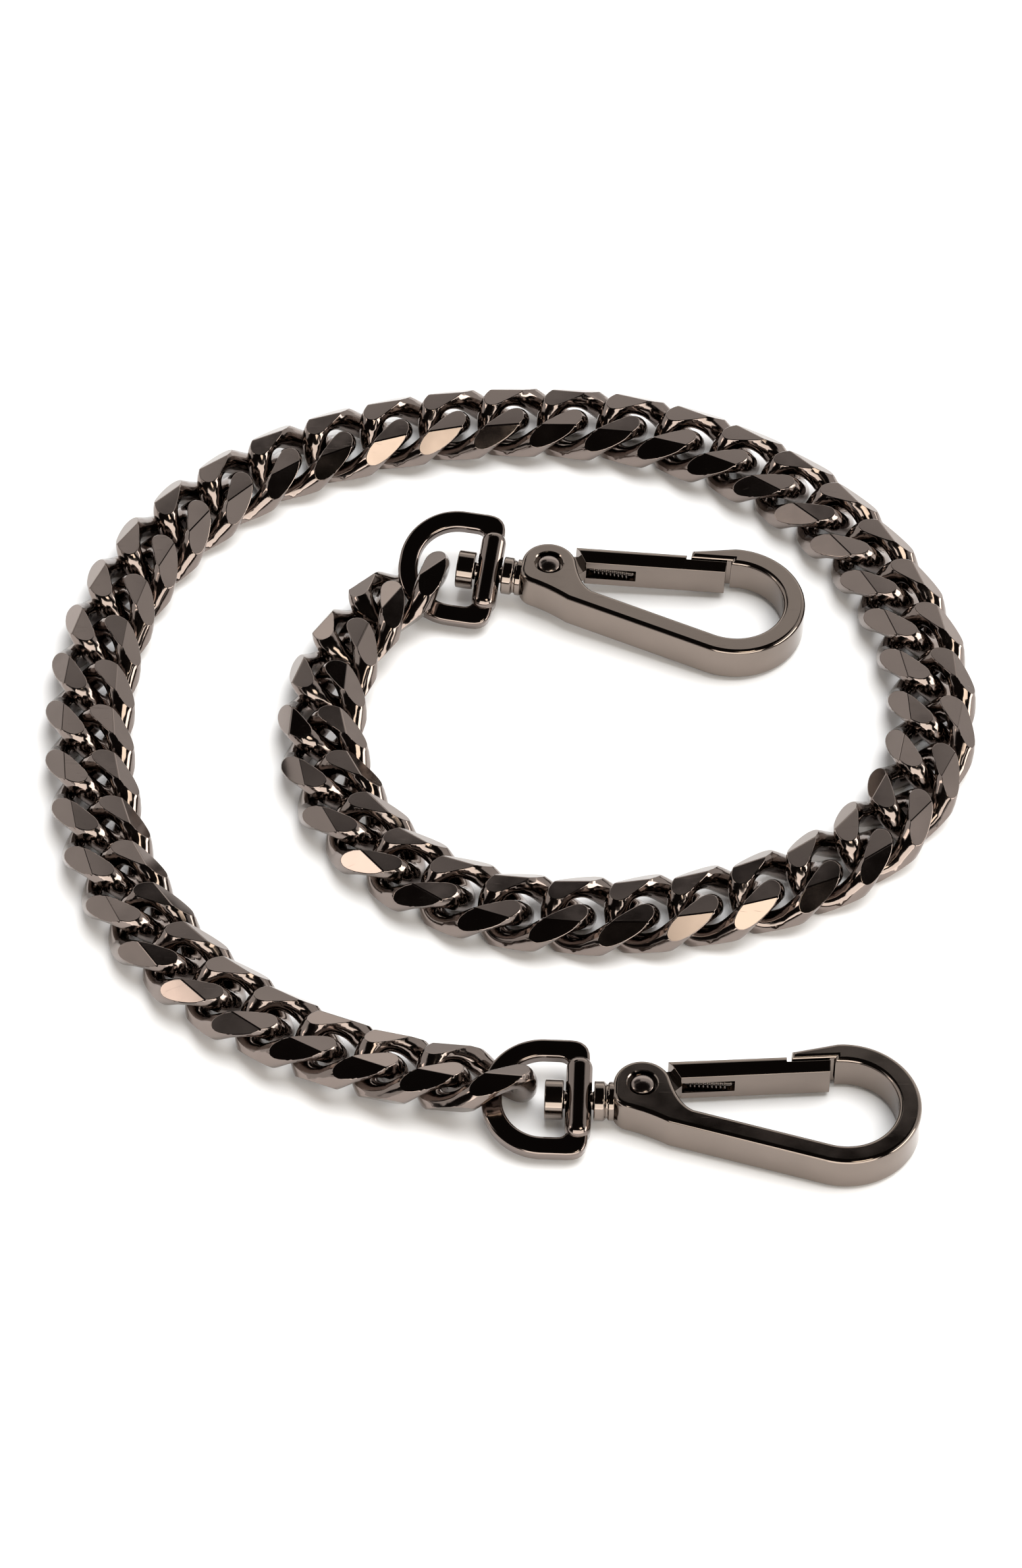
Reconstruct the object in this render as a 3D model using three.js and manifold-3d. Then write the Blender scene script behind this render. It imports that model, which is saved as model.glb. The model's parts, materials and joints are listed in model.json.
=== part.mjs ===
// Wallet chain: a heavy diamond-cut curb chain with a swivel snap hook on each end,
// lying in a loose spiral on a flat surface. Millimetres, +Z up, the surface is z = 0.
import * as THREE from "three";
import { mergeVertices } from "three/addons/utils/BufferGeometryUtils.js";
import Module from "manifold-3d";

const wasm = await Module();
wasm.setup();

// ---- driving dimensions: the chain -------------------------------------------------
const LINK_COUNT = 51;
const PITCH = 9.4; // from one link's centre to the next when the chain is straight
const WIRE = 3.8; // wire diameter
const LINK_WIDTH = 13.6; // across the chain
const LINK_REACH = 6.95; // from the link's centre to the wire's centre at its end
const CORNER = 2.8; // 2 is an ellipse, higher is squarer
const TWIST = 52; // degrees that each end of a link is twisted from its middle
const TWIST_EASE = 0.8; // how early the twist sets in
const CHAIN_HEIGHT = 6.8; // thickness left between the cut flats
const FLAT_HALF_WIDTH = 3.9; // the flats end here and the outer bevels begin
const BEVEL_ANGLE = 40; // slope of the outer bevels
const WIRE_SIDES = 6;
const WIRE_STEPS = 12;

// The route: runs of links, each run with its own clockwise turn per link, in degrees.
const START = { x: 0, y: 0, heading: 174 };
const RUNS = [
  [4, 8], [4, 9], [4, 5.5], [2, 9], [4, 10], [2, 7],
  [3, 6.5], [5, 9.5], [4, 8], [5, 14], [4, 7.5], [9, 14.5],
];
const ROLL_LIFT = 2.8; // a rolled link stands on its edge, this far from its centre

// ---- driving dimensions: the snap hooks ---------------------------------------------
// Each hook is drawn with u along its stem, v towards its gate, and u = 0 at the middle
// of the ring's cross bar.
const HOOK_THICKNESS = 6;
const HOOK_EDGE = 0.5; // rounding of the top and bottom edges
const HOOK_AXIS_HEIGHT = HOOK_THICKNESS / 2;
const RING_REACH = 12.5; // from the cross bar to the middle of the far bar
const RING_SPAN = 15.8; // between the middles of the two side bars
const RING_BAR = 3;
const RING_THICKNESS = 2.2;
const RING_CORNERS = { outer: 8.8, inner: 6 }; // the two far corners
const CROSS_BAR = { halfWidth: 1.9, halfLength: 6.6, thickness: 4.6, edge: 0.7 };
const STEM = { radius: 1.3, gap: 0.3, headRadius: 2.9, headLength: 2.7, collarLength: 2.4 };
const RIVET = { u: 9.1, v: 1.3, radius: 1, headRadius: 1.8, sinkRadius: 2.2, sinkDepth: 0.9 };
const KNUCKLE_RADIUS = 4.2;
const BOW = { u: 38.2, v: -1, radius: 11, width: 3.3 };
const FORK_GAP = 2.6; // the slot between the two cheeks that hold the gate
const TONGUE = { thickness: 2, radius: 3.4 };
const GATE = { width: 3.1, thickness: 5.4, end: 36.1, gap: 0.35 };
const LIP = { start: 30.5, thickness: 1.4, rise: 0.6 }; // the nose's lip laps over the gate's end
const SPRING_SLOT = { start: 14.8, end: 22.4, height: 2.2, depth: 2 };
const HOOKS = {
  a: { x: 14.7, y: -3.1, heading: -2, lift: 0.6, ringTilt: 11 }, // from the centre of the first link
  b: { x: 13.2, y: 3.6, heading: -9, lift: 2, ringTilt: 20 }, // from the centre of the last link
};
const HOOK_LENGTH = BOW.u + BOW.radius; // a hook lifted at its ring still rests on its far end
// The links nearest each hook are rolled so that the ring's bar passes through them.
const START_ROLLS = [22.5, 18, 14, 10, 6, 3];
const END_ROLLS = [-23, -18.5, -14, -10, -6, -3];

const LINK_DETAIL = 0.06; // details of a link finer than this are merged away
const HOOK_DETAIL = 0.02; // and the same for the hooks
const rad = THREE.MathUtils.degToRad;

// ---- solids: joining and cutting ------------------------------------------------------
function solid(geometry) {
  const plain = geometry.clone();
  plain.deleteAttribute("normal");
  plain.deleteAttribute("uv");
  const merged = mergeVertices(plain, 1e-4);
  const vertProperties = new Float32Array(merged.attributes.position.array);
  const triVerts = new Uint32Array(merged.index.array);
  return new wasm.Manifold(new wasm.Mesh({ numProp: 3, vertProperties, triVerts }));
}

function geometryOf(manifold, detail = HOOK_DETAIL) {
  const mesh = manifold.simplify(detail).getMesh();
  const geometry = new THREE.BufferGeometry();
  geometry.setAttribute("position", new THREE.BufferAttribute(new Float32Array(mesh.vertProperties), 3));
  geometry.setIndex(new THREE.BufferAttribute(new Uint32Array(mesh.triVerts), 1));
  geometry.computeVertexNormals();
  return geometry;
}

function box(u0, u1, v0, v1, z0, z1) {
  const geometry = new THREE.BoxGeometry(u1 - u0, v1 - v0, z1 - z0);
  return solid(geometry.translate((u0 + u1) / 2, (v0 + v1) / 2, (z0 + z1) / 2));
}

// A solid turned about the u axis from [u, radius] points that start and end on the axis.
function turned(points, sides) {
  const profile = points.map(([u, radius]) => new THREE.Vector2(radius, u));
  const geometry = new THREE.LatheGeometry(profile, sides);
  return solid(geometry.rotateZ(-Math.PI / 2));
}

// The same about the z axis, from [z, radius] points.
function turnedUpright(points, sides, u, v) {
  const profile = points.map(([z, radius]) => new THREE.Vector2(radius, z));
  const geometry = new THREE.LatheGeometry(profile, sides);
  return solid(geometry.rotateX(Math.PI / 2).translate(u, v, 0));
}

// A flat shape given a thickness about z = 0, with its edges broken by a small slope.
function plate(shape, thickness, edge, curveSegments) {
  const geometry = new THREE.ExtrudeGeometry(shape, {
    depth: thickness - 2 * edge,
    bevelThickness: edge,
    bevelSize: edge,
    bevelOffset: -edge,
    bevelSegments: 1,
    curveSegments,
  });
  return solid(geometry.translate(0, 0, edge - thickness / 2));
}

// ---- the chain's link -------------------------------------------------------------------
// The middle line of a link's wire: a rounded oval, twisted about its own long axis.
class LinkLine extends THREE.Curve {
  getPoint(t, target = new THREE.Vector3()) {
    const angle = t * 2 * Math.PI;
    const along = Math.cos(angle);
    const across = Math.sin(angle);
    const squared = (value) => Math.sign(value) * Math.abs(value) ** (2 / CORNER);
    const x = squared(along);
    const y = squared(across) * (LINK_WIDTH - WIRE) / 2;
    const turn = -rad(TWIST) * Math.sign(x) * Math.abs(x) ** TWIST_EASE;
    return target.set(x * LINK_REACH, y * Math.cos(turn), y * Math.sin(turn));
  }
}

// The chain's cross section after cutting: flats on top and below, a bevel on each flank.
function chainProfile() {
  const side = LINK_WIDTH / 2 + 0.1;
  const top = CHAIN_HEIGHT / 2;
  const shoulder = top - (side - FLAT_HALF_WIDTH) * Math.tan(rad(BEVEL_ANGLE));
  const shape = new THREE.Shape();
  shape.moveTo(-FLAT_HALF_WIDTH, -top);
  shape.lineTo(FLAT_HALF_WIDTH, -top);
  shape.lineTo(side, -shoulder);
  shape.lineTo(side, shoulder);
  shape.lineTo(FLAT_HALF_WIDTH, top);
  shape.lineTo(-FLAT_HALF_WIDTH, top);
  shape.lineTo(-side, shoulder);
  shape.lineTo(-side, -shoulder);
  shape.closePath();
  return shape;
}

function linkGeometry() {
  const wire = solid(new THREE.TubeGeometry(new LinkLine(), WIRE_STEPS, WIRE / 2, WIRE_SIDES, true));
  const length = 2 * LINK_REACH + 2 * WIRE;
  const cutter = new THREE.ExtrudeGeometry(chainProfile(), { depth: length, bevelEnabled: false });
  cutter.translate(0, 0, -length / 2).rotateX(Math.PI / 2).rotateZ(Math.PI / 2);
  return geometryOf(wire.intersect(solid(cutter)), LINK_DETAIL);
}

// ---- the snap hook's pieces ---------------------------------------------------------------
function roundedFrame(u0, u1, halfSpan, farRadius, nearRadius, path) {
  path.moveTo(u1 - nearRadius, -halfSpan);
  path.quadraticCurveTo(u1, -halfSpan, u1, nearRadius - halfSpan);
  path.lineTo(u1, halfSpan - nearRadius);
  path.quadraticCurveTo(u1, halfSpan, u1 - nearRadius, halfSpan);
  path.lineTo(u0 + farRadius, halfSpan);
  path.absarc(u0 + farRadius, halfSpan - farRadius, farRadius, Math.PI / 2, Math.PI);
  path.lineTo(u0, farRadius - halfSpan);
  path.absarc(u0 + farRadius, farRadius - halfSpan, farRadius, Math.PI, 1.5 * Math.PI);
  path.closePath();
  return path;
}

// The ring that joins the hook to its end link, with a thick bored cross bar for the swivel stem.
function ringGeometry() {
  const half = RING_BAR / 2;
  const span = RING_SPAN / 2;
  const shape = roundedFrame(-RING_REACH - half, half, span + half, RING_CORNERS.outer, 2.5, new THREE.Shape());
  shape.holes.push(roundedFrame(-RING_REACH + half, -half, span - half, RING_CORNERS.inner, 1, new THREE.Path()));
  const { halfWidth, halfLength, thickness, edge } = CROSS_BAR;
  const bar = new THREE.Shape();
  bar.moveTo(-halfWidth, -halfLength);
  bar.lineTo(halfWidth, -halfLength);
  bar.lineTo(halfWidth, halfLength);
  bar.lineTo(-halfWidth, halfLength);
  bar.closePath();
  const hole = STEM.radius + STEM.gap;
  const bore = turned([[-4, 0], [-4, hole], [4, hole], [4, 0]], 12);
  return geometryOf(plate(shape, RING_THICKNESS, 0.5, 4).add(plate(bar, thickness, edge, 1)).subtract(bore));
}

// The stem turns in the ring's cross bar, between its own head and collar.
function stemSolid() {
  const inner = CROSS_BAR.halfWidth + STEM.gap;
  const headEnd = -inner - STEM.headLength;
  const collarEnd = inner + STEM.collarLength;
  return turned([
    [headEnd, 0],
    [headEnd, STEM.headRadius - 0.6],
    [headEnd + 0.6, STEM.headRadius],
    [-inner, STEM.headRadius],
    [-inner, STEM.radius],
    [inner, STEM.radius],
    [inner, STEM.headRadius],
    [collarEnd + 0.5, STEM.headRadius],
    [collarEnd + 0.5, 0],
  ], 12);
}

// Height of the gate's outer edge above the stem's axis at u.
function gateOuterEdge(u) {
  const slope = (8.1 - 5.5) / (GATE.end - RIVET.u);
  return 5.5 + slope * (u - RIVET.u);
}

function hookOutline() {
  const neck = CROSS_BAR.halfWidth + STEM.gap + STEM.collarLength;
  const inner = BOW.radius - BOW.width;
  const lipInner = (u) => gateOuterEdge(u) + LIP.rise - LIP.thickness;
  const noseU = GATE.end + 2 * GATE.gap; // the gate swings in past the nose
  const noseAngle = Math.acos((noseU - BOW.u) / inner);
  const shape = new THREE.Shape();
  shape.moveTo(neck, -2.6);
  shape.quadraticCurveTo(8.5, -3.4, 13, -5.6);
  shape.absarc(BOW.u, BOW.v, BOW.radius, rad(-104), rad(96));
  shape.lineTo(LIP.start, lipInner(LIP.start) + LIP.thickness);
  shape.lineTo(LIP.start, lipInner(LIP.start));
  shape.lineTo(noseU, lipInner(noseU));
  shape.absarc(BOW.u, BOW.v, inner, noseAngle, rad(-104), true);
  shape.lineTo(14.5, -2.7);
  shape.lineTo(RIVET.u + KNUCKLE_RADIUS * Math.cos(rad(-38)), RIVET.v + KNUCKLE_RADIUS * Math.sin(rad(-38)));
  shape.absarc(RIVET.u, RIVET.v, KNUCKLE_RADIUS, rad(-38), rad(140));
  shape.lineTo(neck, 2.6);
  shape.closePath();
  return shape;
}

function rivetHole() {
  const half = HOOK_THICKNESS / 2;
  const hole = RIVET.radius + 0.3;
  const sink = half - RIVET.sinkDepth;
  return turnedUpright([
    [-half - 1, 0],
    [-half - 1, RIVET.sinkRadius],
    [-sink, RIVET.sinkRadius],
    [-sink, hole],
    [sink, hole],
    [sink, RIVET.sinkRadius],
    [half + 1, RIVET.sinkRadius],
    [half + 1, 0],
  ], 12, RIVET.u, RIVET.v);
}

function hookGeometry() {
  const body = plate(hookOutline(), HOOK_THICKNESS, HOOK_EDGE, 12);
  const forkEnd = RIVET.u - TONGUE.radius - 0.4;
  const fork = box(forkEnd, LIP.start - 3, RIVET.v - TONGUE.radius - 0.3, 12, -FORK_GAP / 2, FORK_GAP / 2);
  return geometryOf(body.subtract(fork).subtract(rivetHole()).add(stemSolid()));
}

// The gate: a bar that closes the bow, with a tongue that turns on the rivet.
function gateGeometry() {
  const start = RIVET.u + KNUCKLE_RADIUS + 0.4;
  const tipEnd = GATE.end;
  const stepU = LIP.start - 2 * GATE.gap;
  const underLip = (u) => gateOuterEdge(u) + LIP.rise - LIP.thickness - GATE.gap;
  const bar = new THREE.Shape();
  bar.moveTo(start, gateOuterEdge(start) - GATE.width);
  bar.lineTo(tipEnd, gateOuterEdge(tipEnd) - GATE.width);
  bar.lineTo(tipEnd, underLip(tipEnd));
  bar.lineTo(stepU, underLip(stepU));
  bar.lineTo(stepU, gateOuterEdge(stepU));
  bar.lineTo(start, gateOuterEdge(start));
  bar.closePath();
  const tongue = new THREE.Shape();
  tongue.absarc(RIVET.u, RIVET.v, TONGUE.radius, rad(75), rad(300));
  tongue.lineTo(start + 2, gateOuterEdge(start) - GATE.width + 0.6);
  tongue.lineTo(start + 2, gateOuterEdge(start) - 0.4);
  tongue.closePath();
  const hole = RIVET.radius + 0.3;
  const bore = turnedUpright([[-4, 0], [-4, hole], [4, hole], [4, 0]], 10, RIVET.u, RIVET.v);
  const slotTop = gateOuterEdge(SPRING_SLOT.start) - GATE.width + SPRING_SLOT.depth;
  const halfSlot = SPRING_SLOT.height / 2;
  const slot = box(SPRING_SLOT.start, SPRING_SLOT.end, -2, slotTop, -halfSlot, halfSlot);
  const knuckle = plate(tongue, TONGUE.thickness, 0.01, 6).subtract(bore);
  return geometryOf(plate(bar, GATE.thickness, 0.5, 4).add(knuckle).subtract(slot));
}

function rivetGeometry() {
  const top = HOOK_THICKNESS / 2 + 0.2;
  const seat = HOOK_THICKNESS / 2 - RIVET.sinkDepth + 0.3;
  const rivet = turnedUpright([
    [0.3 - HOOK_THICKNESS / 2, 0],
    [0.3 - HOOK_THICKNESS / 2, RIVET.headRadius - 0.3],
    [-seat, RIVET.headRadius],
    [-seat, RIVET.radius],
    [seat, RIVET.radius],
    [seat, RIVET.headRadius],
    [top - 0.3, RIVET.headRadius * 0.7],
    [top, 0],
  ], 10, RIVET.u, RIVET.v);
  return geometryOf(rivet);
}

// ---- materials ---------------------------------------------------------------------------
const gunmetal = new THREE.MeshStandardMaterial({ color: 0x80756f, roughness: 0.1, metalness: 1 });
const ringMetal = new THREE.MeshStandardMaterial({ color: 0x7c716b, roughness: 0.14, metalness: 1 });
const hookMetal = new THREE.MeshStandardMaterial({ color: 0x857a73, roughness: 0.12, metalness: 1 });
const gateMetal = new THREE.MeshStandardMaterial({ color: 0x82776f, roughness: 0.13, metalness: 1 });
const rivetMetal = new THREE.MeshStandardMaterial({ color: 0x948a83, roughness: 0.16, metalness: 1 });

// ---- assembly ----------------------------------------------------------------------------
const wallet_chain = new THREE.Group();

function place(name, geometry, material, pose) {
  const mesh = new THREE.Mesh(geometry, material);
  mesh.name = name;
  mesh.rotation.order = "ZYX";
  mesh.position.set(pose.x, pose.y, pose.z);
  mesh.rotation.set(rad(pose.roll), pose.pitch ?? 0, rad(pose.heading));
  wallet_chain.add(mesh);
  return mesh;
}

// The pose of every link: each one hangs from the last at a point half a pitch away.
function routePoses() {
  const turns = RUNS.flatMap(([count, turn]) => Array(count).fill(turn));
  const poses = [];
  let { x, y, heading } = START;
  for (let link = 0; link < LINK_COUNT; link += 1) {
    const roll = START_ROLLS[link] ?? END_ROLLS[LINK_COUNT - 1 - link] ?? 0;
    const z = CHAIN_HEIGHT / 2 + ROLL_LIFT * Math.sin(rad(Math.abs(roll)));
    poses.push({ x, y, z, heading, roll });
    x += (PITCH / 2) * Math.cos(rad(heading));
    y += (PITCH / 2) * Math.sin(rad(heading));
    heading -= turns[link] ?? 0;
    x += (PITCH / 2) * Math.cos(rad(heading));
    y += (PITCH / 2) * Math.sin(rad(heading));
  }
  return poses;
}

const linkShape = linkGeometry();
const links = routePoses();
links.forEach((pose, index) => {
  const number = String(index + 1).padStart(2, "0");
  place(`link_${number}`, linkShape, gunmetal, pose);
});

const hookShapes = [
  ["ring", ringGeometry(), ringMetal],
  ["hook", hookGeometry(), hookMetal],
  ["gate", gateGeometry(), gateMetal],
  ["rivet", rivetGeometry(), rivetMetal],
];
const endLinks = { a: links[0], b: links[LINK_COUNT - 1] };
for (const [side, offset] of Object.entries(HOOKS)) {
  const end = endLinks[side];
  for (const [piece, geometry, material] of hookShapes) {
    const pose = {
      x: end.x + offset.x,
      y: end.y + offset.y,
      z: HOOK_AXIS_HEIGHT + offset.lift,
      pitch: Math.asin(offset.lift / HOOK_LENGTH),
      heading: offset.heading,
      roll: piece === "ring" ? offset.ringTilt : 0,
    };
    place(`${piece}_${side}`, geometry, material, pose);
  }
}

// The origin is on the surface, under the middle of the whole layout.
const bounds = new THREE.Box3().setFromObject(wallet_chain, true);
const middle = bounds.getCenter(new THREE.Vector3());
wallet_chain.children.forEach((mesh) => {
  mesh.position.sub(new THREE.Vector3(middle.x, middle.y, bounds.min.z));
});

export default wallet_chain;
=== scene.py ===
"""A polished gunmetal wallet chain: cut curb links in a loose spiral with a swivel snap hook at
each end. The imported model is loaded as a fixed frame, and every piece here rides on one of its bodies."""

import json
import math
import random

import bpy
import numpy as np
from bpy.props import FloatProperty, FloatVectorProperty, IntProperty, PointerProperty
from mathutils import Euler, Matrix, Vector


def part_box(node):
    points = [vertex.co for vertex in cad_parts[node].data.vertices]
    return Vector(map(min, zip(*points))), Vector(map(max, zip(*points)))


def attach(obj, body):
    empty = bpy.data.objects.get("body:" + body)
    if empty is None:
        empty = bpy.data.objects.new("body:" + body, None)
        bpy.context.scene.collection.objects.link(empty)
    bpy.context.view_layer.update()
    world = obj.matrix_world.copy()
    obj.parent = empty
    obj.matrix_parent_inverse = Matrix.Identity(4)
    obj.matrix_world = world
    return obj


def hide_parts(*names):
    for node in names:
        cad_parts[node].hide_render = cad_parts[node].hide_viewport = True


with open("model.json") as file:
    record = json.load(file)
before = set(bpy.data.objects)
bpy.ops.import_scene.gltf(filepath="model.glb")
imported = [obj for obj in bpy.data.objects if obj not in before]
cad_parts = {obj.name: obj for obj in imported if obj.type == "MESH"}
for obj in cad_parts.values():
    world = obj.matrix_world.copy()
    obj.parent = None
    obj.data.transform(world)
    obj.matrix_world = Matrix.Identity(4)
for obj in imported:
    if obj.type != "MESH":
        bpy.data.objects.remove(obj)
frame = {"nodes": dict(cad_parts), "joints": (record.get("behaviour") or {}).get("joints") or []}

bl_info = {
    "name": "Wallet Chain",
    "version": (1, 0, 0),
    "blender": (4, 5, 0),
    "location": "3D View > Sidebar > Wallet Chain",
    "description": "Models a cut curb chain with two swivel snap hooks on a packed frame",
    "category": "Add Mesh",
}

NODES = frame["nodes"]
JOINTS = {joint["name"]: joint for joint in frame["joints"]}
LINK_NAMES = sorted(name for name in NODES if name.startswith("link_"))
SIDES = ("a", "b")
MM = 0.001  # pieces are modelled in millimetres and placed in metres
SOFT_ANGLE = math.radians(38)  # edges flatter than this are shaded smooth
RIM_ANGLE = math.radians(60)  # edges sharper than this are rims, which are rounded
SLOTS = {kind: f"gunmetal_{kind}" for kind in ("link", "ring", "hook", "gate", "rivet")}


# ---- sizes and colours that a user would change ---------------------------------------------
def length(name, description, millimetres):
    """A length property whose default is given in millimetres."""
    return FloatProperty(
        name=name, description=description, default=millimetres * MM, min=0, unit="LENGTH", precision=5,
    )


def colour(name, description, hex_value):
    """A colour property whose default is given as an sRGB hex value."""
    return FloatVectorProperty(
        name=name, description=description, default=linear(hex_value), size=3, subtype="COLOR", min=0, max=1,
    )


def linear(hex_value):
    """The linear colour of an sRGB hex value such as '80756f'."""
    channels = [int(hex_value[place:place + 2], 16) / 255 for place in (0, 2, 4)]
    return tuple(c / 12.92 if c <= 0.04045 else ((c + 0.055) / 1.055) ** 2.4 for c in channels)


class LinkSizes(bpy.types.PropertyGroup):
    wire: length("Wire", "Diameter of the link's wire", 3.8)
    width: length("Width", "Width of the chain before its flanks are cut", 13.6)
    reach: length("Reach", "From the link's centre to the middle of the wire at its end", 6.95)
    height: length("Height", "Thickness left between the cut flats", 6.8)
    flat_half_width: length("Flat half width", "Where the flats end and the outer bevels begin", 3.9)
    rim: length("Facet rim", "Width of the fine rim round each cut facet", 0.14)
    bevel_angle: FloatProperty(
        name="Bevel angle", description="Slope of the outer bevels",
        default=math.radians(40), subtype="ANGLE",
    )
    twist: FloatProperty(
        name="Twist", description="Turn of each end of a link from its middle",
        default=math.radians(52), subtype="ANGLE",
    )
    line_points: IntProperty(
        name="Line points", description="Points on the link's middle line", default=48, min=16, max=96,
    )


class HookSizes(bpy.types.PropertyGroup):
    thickness: length("Thickness", "Thickness of the hook's body", 6.0)
    rim: length("Rim", "Rounding of the hook's top and bottom rims", 0.68)
    bow_radius: length("Bow radius", "Outer radius of the bow", 11.0)
    bow_width: length("Bow width", "Width of the bow's top face", 3.3)
    gate_width: length("Gate width", "Width of the gate's bar", 3.1)
    gate_thickness: length("Gate thickness", "Thickness of the gate's bar", 5.4)
    ring_bar: length("Ring bar", "Width of the ring's bar", 3.0)
    ring_thickness: length("Ring thickness", "Thickness of the ring", 2.2)


class FinishColours(bpy.types.PropertyGroup):
    link: colour("Links", "Colour of the links' plating", "80756f")
    ring: colour("Rings", "Colour of the rings' plating", "7c716b")
    hook: colour("Hooks", "Colour of the hooks' plating", "82776f")
    gate: colour("Gates", "Colour of the gates' plating", "80756d")
    rivet: colour("Rivets", "Colour of the bare rivets", "857a74")
    # The springs' colour is the steel's own colour darkened by painted shade, so that springs and pushers
    # sit as dark as the shaded slot they lie in.
    spring: colour("Springs", "Colour of the gate springs", "6b645f")
    floor: colour("Floor", "Colour of the floor", "f7f7f7")


# ---- modelling: small helpers ---------------------------------------------------------------
def pick(piece):
    """Leaves one object selected and active."""
    bpy.ops.object.select_all(action="DESELECT")
    piece.select_set(True)
    bpy.context.view_layer.objects.active = piece


def edit_all(piece):
    """Opens a piece for editing with everything on it selected."""
    pick(piece)
    bpy.ops.object.mode_set(mode="EDIT")
    bpy.ops.mesh.select_all(action="SELECT")


def close_edit():
    """Turns all faces outwards and leaves edit mode."""
    bpy.ops.mesh.select_all(action="SELECT")
    bpy.ops.mesh.normals_make_consistent(inside=False)
    bpy.ops.object.mode_set(mode="OBJECT")


def apply_modifier(piece, kind, **settings):
    """Adds one modifier, sets it up and applies it."""
    pick(piece)
    bpy.ops.object.modifier_add(type=kind)
    modifier = piece.modifiers[-1]
    for name, value in settings.items():
        setattr(modifier, name, value)
    bpy.ops.object.modifier_apply(modifier=modifier.name)


def shave(piece, point, outward):
    """Cuts away all of a piece that lies outside a plane, and closes the cut."""
    edit_all(piece)
    bpy.ops.mesh.bisect(plane_co=point, plane_no=outward, use_fill=True, clear_outer=True)
    close_edit()


def round_rims(piece, width, steps, angle=RIM_ANGLE):
    """Rounds every edge that is sharper than the angle."""
    apply_modifier(
        piece, "BEVEL", width=width, segments=steps, limit_method="ANGLE", angle_limit=angle,
        miter_outer="MITER_ARC", use_clamp_overlap=True,
    )


def round_faces(piece, half, width, steps):
    """Rounds the outlines of a plate's top and bottom faces, and leaves its upright edges alone."""
    edit_all(piece)
    bpy.ops.mesh.select_mode(type="EDGE")
    bpy.ops.mesh.select_all(action="DESELECT")
    bpy.ops.object.mode_set(mode="OBJECT")
    for edge in piece.data.edges:
        ends = [piece.data.vertices[index].co.z for index in edge.vertices]
        edge.select = abs(sum(ends)) > 1.99 * half
    bpy.ops.object.mode_set(mode="EDIT")
    bpy.ops.mesh.bevel(offset=width, segments=steps, affect="EDGES", clamp_overlap=False)
    close_edit()


def combine(piece, tool, operation):
    """Joins another solid to a piece or cuts it away, and removes the tool."""
    apply_modifier(piece, "BOOLEAN", object=tool, operation=operation, solver="EXACT")
    bpy.data.objects.remove(tool, do_unlink=True)


def polish(piece, angle=SOFT_ANGLE):
    """Smooth shading that keeps flat faces truly flat in reflections."""
    pick(piece)
    bpy.ops.object.shade_smooth_by_angle(angle=angle)
    apply_modifier(piece, "WEIGHTED_NORMAL", mode="FACE_AREA", weight=90, keep_sharp=True)


def arc(centre, radius, start, end, steps):
    """Points on an arc, in degrees, both ends included."""
    angles = [math.radians(start + (end - start) * step / steps) for step in range(steps + 1)]
    return [(centre[0] + radius * math.cos(a), centre[1] + radius * math.sin(a)) for a in angles]


def sweep(start, control, end, steps):
    """Points on a quadratic curve, both ends included."""
    points = []
    for step in range(steps + 1):
        t = step / steps
        weights = ((1 - t) ** 2, 2 * t * (1 - t), t * t)
        points.append(tuple(sum(w * p[k] for w, p in zip(weights, (start, control, end))) for k in (0, 1)))
    return points


def plate(outline, thickness):
    """A flat plate of an outline's shape, centred on z = 0."""
    bpy.ops.object.select_all(action="DESELECT")
    bpy.ops.mesh.primitive_circle_add(vertices=len(outline), radius=1, fill_type="NGON", location=(0, 0, 0))
    piece = bpy.context.object
    for vertex, (u, v) in zip(piece.data.vertices, outline):
        vertex.co = (u, v, -thickness / 2)
    edit_all(piece)
    bpy.ops.mesh.extrude_region_move(TRANSFORM_OT_translate={"value": (0, 0, thickness)})
    close_edit()
    return piece


def block(low, high):
    """A box between two corners."""
    outline = [(low[0], low[1]), (high[0], low[1]), (high[0], high[1]), (low[0], high[1])]
    piece = plate(outline, high[2] - low[2])
    piece.data.transform(Matrix.Translation((0, 0, (low[2] + high[2]) / 2)))
    return piece


def turned(profile, steps=64):
    """A solid turned about the u axis from (u, radius) points that start and end on the axis."""
    bpy.ops.object.select_all(action="DESELECT")
    bpy.ops.mesh.primitive_circle_add(
        vertices=len(profile), radius=1, fill_type="NOTHING", location=(0, 0, 0),
    )
    piece = bpy.context.object
    for vertex, (u, radius) in zip(piece.data.vertices, profile):
        vertex.co = (u, radius, 0)
    edit_all(piece)
    bpy.ops.mesh.spin(steps=steps, angle=2 * math.pi, center=(0, 0, 0), axis=(1, 0, 0))
    bpy.ops.mesh.select_all(action="SELECT")
    bpy.ops.mesh.remove_doubles(threshold=0.0005)
    bpy.ops.mesh.delete_loose(use_verts=True, use_edges=True, use_faces=False)
    close_edit()
    return piece


def upright(piece, u, v):
    """Stands a turned solid on the z axis at (u, v)."""
    piece.data.transform(Matrix.Translation((u, v, 0)) @ Matrix.Rotation(-math.pi / 2, 4, "Y"))
    return piece


def place(template, name, pose, body, slot, material, node=None):
    """Copies a modelled shape to its place and ties it to its body."""
    pick(template)
    bpy.ops.object.duplicate(linked=False)
    piece = bpy.context.object
    piece.name = name
    piece.data.name = name
    piece.data.transform(pose @ Matrix.Diagonal((MM, MM, MM, 1)))
    piece.data.materials.clear()
    piece.data.materials.append(material)
    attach(piece, body)
    if node:
        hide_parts(node)
    return piece


# ---- where things are -----------------------------------------------------------------------
def pose_of(along, across, centre):
    """A pose from two directions and a place."""
    along = along.normalized()
    normal = along.cross(across).normalized()
    turn = Matrix((along, normal.cross(along), normal)).transposed()
    return Matrix.Translation(centre) @ turn.to_4x4()


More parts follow.
